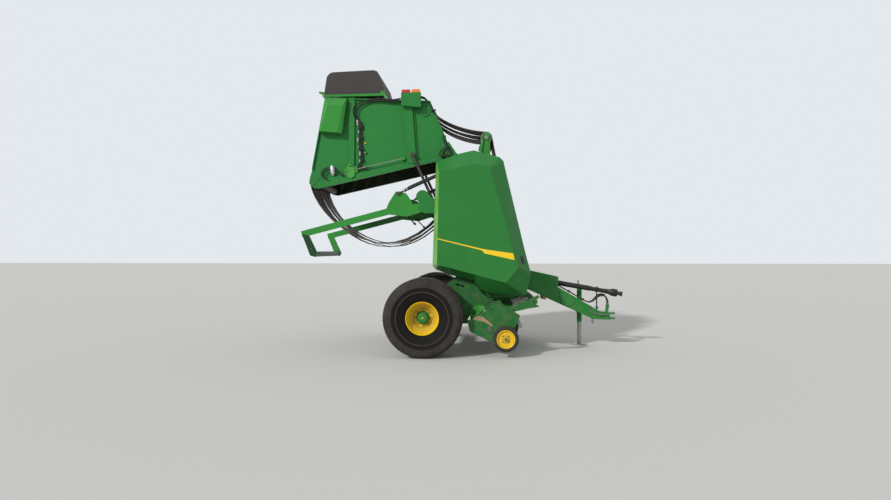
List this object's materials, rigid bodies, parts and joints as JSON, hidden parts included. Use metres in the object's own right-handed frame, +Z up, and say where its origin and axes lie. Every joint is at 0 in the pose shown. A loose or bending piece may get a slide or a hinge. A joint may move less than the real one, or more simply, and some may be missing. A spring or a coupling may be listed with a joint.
{
  "type": "round baler",
  "caption": "Trailed round baler with a belt chamber, its rear gate and bale push bar raised, side shields, a tined pickup, a drawbar tongue and a parking jack.",
  "frame": {"origin": "middle of the machine's length and width, on the ground", "axes": "+X forwards along the tongue, +Y to the machine's left, +Z up"},
  "size_m": [4.4732, 2.726, 3.8758],
  "materials": {
    "green": "satin",
    "bright_green": "gloss",
    "yellow": "satin",
    "rubber": "matte",
    "belt": "matte",
    "steel": "satin",
    "black": "satin",
    "lamp_red": "gloss",
    "lamp_amber": "gloss",
    "cover": "matte",
    "shield": "gloss"
  },
  "bodies": {
    "frame": {"side_sheet_right": "green", "side_sheet_left": "green", "brackets_right": "green", "brackets_left": "green", "cross_frame": "green", "axle_plates": "green", "axle": "steel", "tongue": "green", "hitch": "green", "jack_tube": "green", "gearbox": "black", "front_panel": "green", "frame_rolls": "steel", "roll_tower": "green", "belts_frame": "belt", "belts_upper": "belt", "belts_slack": "belt", "chain_drive": "steel"},
    "jack_leg": {"jack_leg": "steel"},
    "drive_shaft": {"driveline": "black"},
    "shield_right": {"shield_right": "shield"},
    "shield_left": {"shield_left": "shield"},
    "gate": {"gate_side_right": "green", "gate_side_left": "green", "gate_cross": "green", "gate_rolls": "steel", "belts_gate": "belt", "lamp_brackets": "green", "lamps_red": "lamp_red", "lamps_amber": "lamp_amber", "gate_valves": "black", "latch_rods": "steel", "gate_bosses": "green", "net_box": "green"},
    "net_cover": {"net_cover": "cover"},
    "push_bar": {"push_arms": "bright_green", "push_tube": "black"},
    "pickup": {"pickup_frame": "green", "pickup_bands": "green"},
    "wind_guard": {"wind_guard": "green"},
    "reel": {"pickup_reel": "steel"},
    "augers": {"feed_augers": "steel"},
    "gate_barrel_right": {"gate_barrel_right": "black"},
    "gate_rod_right": {"gate_rod_right": "steel"},
    "push_barrel_right": {"push_barrel_right": "black"},
    "push_rod_right": {"push_rod_right": "black"},
    "wheel_right": {"tyre_right": "rubber", "rim_right": "yellow", "hub_right": "green"},
    "gauge_wheel_right": {"gauge_tyre_right": "rubber", "gauge_rim_right": "yellow"},
    "gate_barrel_left": {"gate_barrel_left": "black"},
    "gate_rod_left": {"gate_rod_left": "steel"},
    "push_barrel_left": {"push_barrel_left": "black"},
    "push_rod_left": {"push_rod_left": "black"},
    "wheel_left": {"tyre_left": "rubber", "rim_left": "yellow", "hub_left": "green"},
    "gauge_wheel_left": {"gauge_tyre_left": "rubber", "gauge_rim_left": "yellow"}
  },
  "joints": [
    {"name": "gate_hinge", "type": "hinge", "parent": "frame", "child": "gate", "pos_m": [-0.14551, 0, 2.644], "axis": [0, 1, 0], "range_deg": [-77.4, 0], "deforming": ["belts_upper", "belts_slack"]},
    {"name": "push_bar_hinge", "type": "hinge", "parent": "frame", "child": "push_bar", "pos_m": [-0.56451, 0, 1.964], "axis": [0, 1, 0], "range_deg": [-56, 0]},
    {"name": "gate_barrel_right_pivot", "type": "hinge", "parent": "frame", "child": "gate_barrel_right", "pos_m": [0.00249, -0.683, 1.084], "axis": [0, 1, 0], "range_deg": [0, 6.73]},
    {"name": "gate_rod_right_slide", "type": "slide", "parent": "gate_barrel_right", "child": "gate_rod_right", "axis": [-0.4138, 0, 0.9104], "range_m": [-0.71242, 0]},
    {"name": "push_barrel_right_pivot", "type": "hinge", "parent": "frame", "child": "push_barrel_right", "pos_m": [-0.05051, -0.765, 2.53], "axis": [0, 1, 0], "range_deg": [-17.08, 0]},
    {"name": "push_rod_right_slide", "type": "slide", "parent": "push_barrel_right", "child": "push_rod_right", "axis": [-0.9143, 0, -0.405], "range_m": [0, 0.20129]},
    {"name": "wheel_right_spin", "type": "hinge", "parent": "frame", "child": "wheel_right", "pos_m": [-0.53051, -1.09, 0.512], "axis": [0, 1, 0], "continuous": true},
    {"name": "gauge_wheel_right_spin", "type": "hinge", "parent": "pickup", "child": "gauge_wheel_right", "pos_m": [0.53249, -1.2, 0.247], "axis": [0, 1, 0], "continuous": true},
    {"name": "shield_right_hinge", "type": "hinge", "parent": "frame", "child": "shield_right", "pos_m": [0.22949, -0.791, 2.59], "axis": [-1, 0, 0], "range_deg": [0, 75]},
    {"name": "gate_barrel_left_pivot", "type": "hinge", "parent": "frame", "child": "gate_barrel_left", "pos_m": [0.00249, 0.683, 1.084], "axis": [0, 1, 0], "range_deg": [0, 6.73]},
    {"name": "gate_rod_left_slide", "type": "slide", "parent": "gate_barrel_left", "child": "gate_rod_left", "axis": [-0.4138, 0, 0.9104], "range_m": [-0.71242, 0]},
    {"name": "push_barrel_left_pivot", "type": "hinge", "parent": "frame", "child": "push_barrel_left", "pos_m": [-0.05051, 0.765, 2.53], "axis": [0, 1, 0], "range_deg": [-17.08, 0]},
    {"name": "push_rod_left_slide", "type": "slide", "parent": "push_barrel_left", "child": "push_rod_left", "axis": [-0.9143, 0, -0.405], "range_m": [0, 0.20129]},
    {"name": "wheel_left_spin", "type": "hinge", "parent": "frame", "child": "wheel_left", "pos_m": [-0.53051, 1.09, 0.512], "axis": [0, 1, 0], "continuous": true},
    {"name": "gauge_wheel_left_spin", "type": "hinge", "parent": "pickup", "child": "gauge_wheel_left", "pos_m": [0.53249, 1.2, 0.247], "axis": [0, 1, 0], "continuous": true},
    {"name": "shield_left_hinge", "type": "hinge", "parent": "frame", "child": "shield_left", "pos_m": [0.22949, 0.791, 2.59], "axis": [1, 0, 0], "range_deg": [0, 75]},
    {"name": "net_cover_hinge", "type": "hinge", "parent": "gate", "child": "net_cover", "pos_m": [-1.14324, 0, 3.56862], "axis": [0, 1, 0], "range_deg": [0, 70]},
    {"name": "pickup_lift", "type": "hinge", "parent": "frame", "child": "pickup", "pos_m": [0.16949, 0, 0.6], "axis": [0, 1, 0], "range_deg": [0, 12]},
    {"name": "reel_spin", "type": "hinge", "parent": "pickup", "child": "reel", "pos_m": [0.53449, 0, 0.385], "axis": [0, 1, 0], "continuous": true},
    {"name": "auger_spin", "type": "hinge", "parent": "pickup", "child": "augers", "pos_m": [0.18949, 0, 0.54], "axis": [0, 1, 0], "continuous": true},
    {"name": "wind_guard_hinge", "type": "hinge", "parent": "pickup", "child": "wind_guard", "pos_m": [0.58949, 0, 0.612], "axis": [0, 1, 0], "range_deg": [0, 20]},
    {"name": "jack_slide", "type": "slide", "parent": "frame", "child": "jack_leg", "axis": [0, 0, 1], "range_m": [0, 0.3]},
    {"name": "drive_shaft_spin", "type": "hinge", "parent": "frame", "child": "drive_shaft", "pos_m": [1.15949, 0, 0.938], "axis": [0.9853, 0, -0.1711], "continuous": true}
  ],
  "couplings": [
    {"joint": "push_bar_hinge", "follows": "gate_hinge", "ratio": 0.72351},
    {"joint": "gate_barrel_right_pivot", "follows": "gate_hinge", "ratio": -0.086991},
    {"joint": "gate_rod_right_slide", "follows": "gate_hinge", "m_per_rad": 0.52738},
    {"joint": "push_barrel_right_pivot", "follows": "gate_hinge", "ratio": 0.22064},
    {"joint": "push_rod_right_slide", "follows": "gate_hinge", "m_per_rad": -0.149},
    {"joint": "gate_barrel_left_pivot", "follows": "gate_hinge", "ratio": -0.086991},
    {"joint": "gate_rod_left_slide", "follows": "gate_hinge", "m_per_rad": 0.52738},
    {"joint": "push_barrel_left_pivot", "follows": "gate_hinge", "ratio": 0.22064},
    {"joint": "push_rod_left_slide", "follows": "gate_hinge", "m_per_rad": -0.149}
  ]
}
